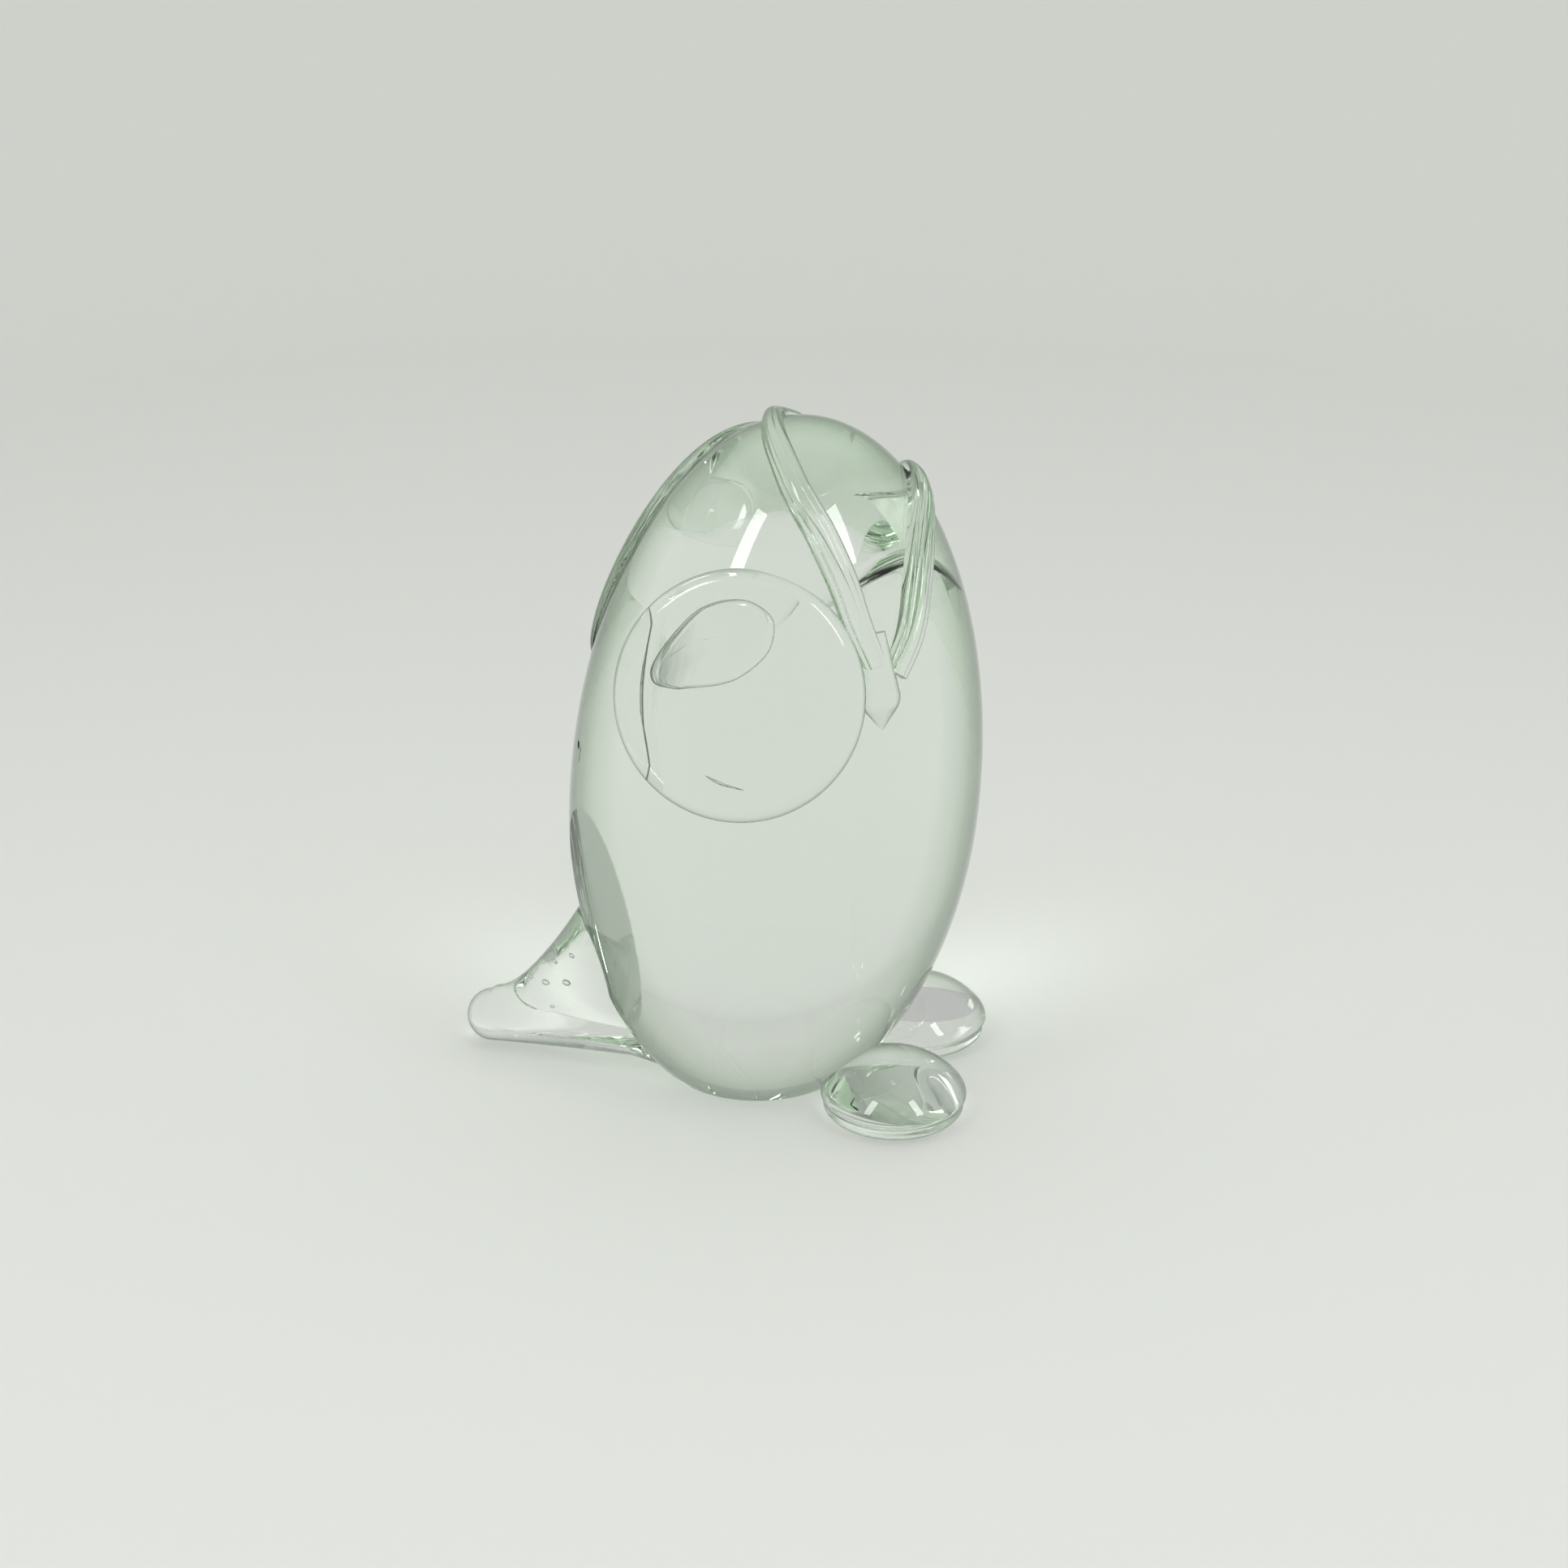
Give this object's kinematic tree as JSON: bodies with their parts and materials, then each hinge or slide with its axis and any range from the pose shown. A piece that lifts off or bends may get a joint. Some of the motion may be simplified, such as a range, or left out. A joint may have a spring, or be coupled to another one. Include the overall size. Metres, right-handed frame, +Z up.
{
  "type": "penguin figurine",
  "caption": "Clear glass penguin ornament: a leaning egg-shaped body with round side flippers, domed feet, a drawn tail and ribbed brow trails that meet over a beak.",
  "frame": {"origin": "centre of the body's flat base, on the surface it stands on", "axes": "+Z up, -Y the way the feet point (the figure's front), +X the figure's left"},
  "size_m": [0.0695, 0.0877, 0.1134],
  "materials": {
    "clear_glass": "fire-polished clear glass, faintly green where it is thick"
  },
  "bodies": {
    "root": {"body": "clear_glass", "tail": "clear_glass", "right_foot": "clear_glass", "left_foot": "clear_glass", "right_flipper": "clear_glass", "left_flipper": "clear_glass", "right_brow": "clear_glass", "left_brow": "clear_glass", "beak": "clear_glass"}
  },
  "joints": []
}
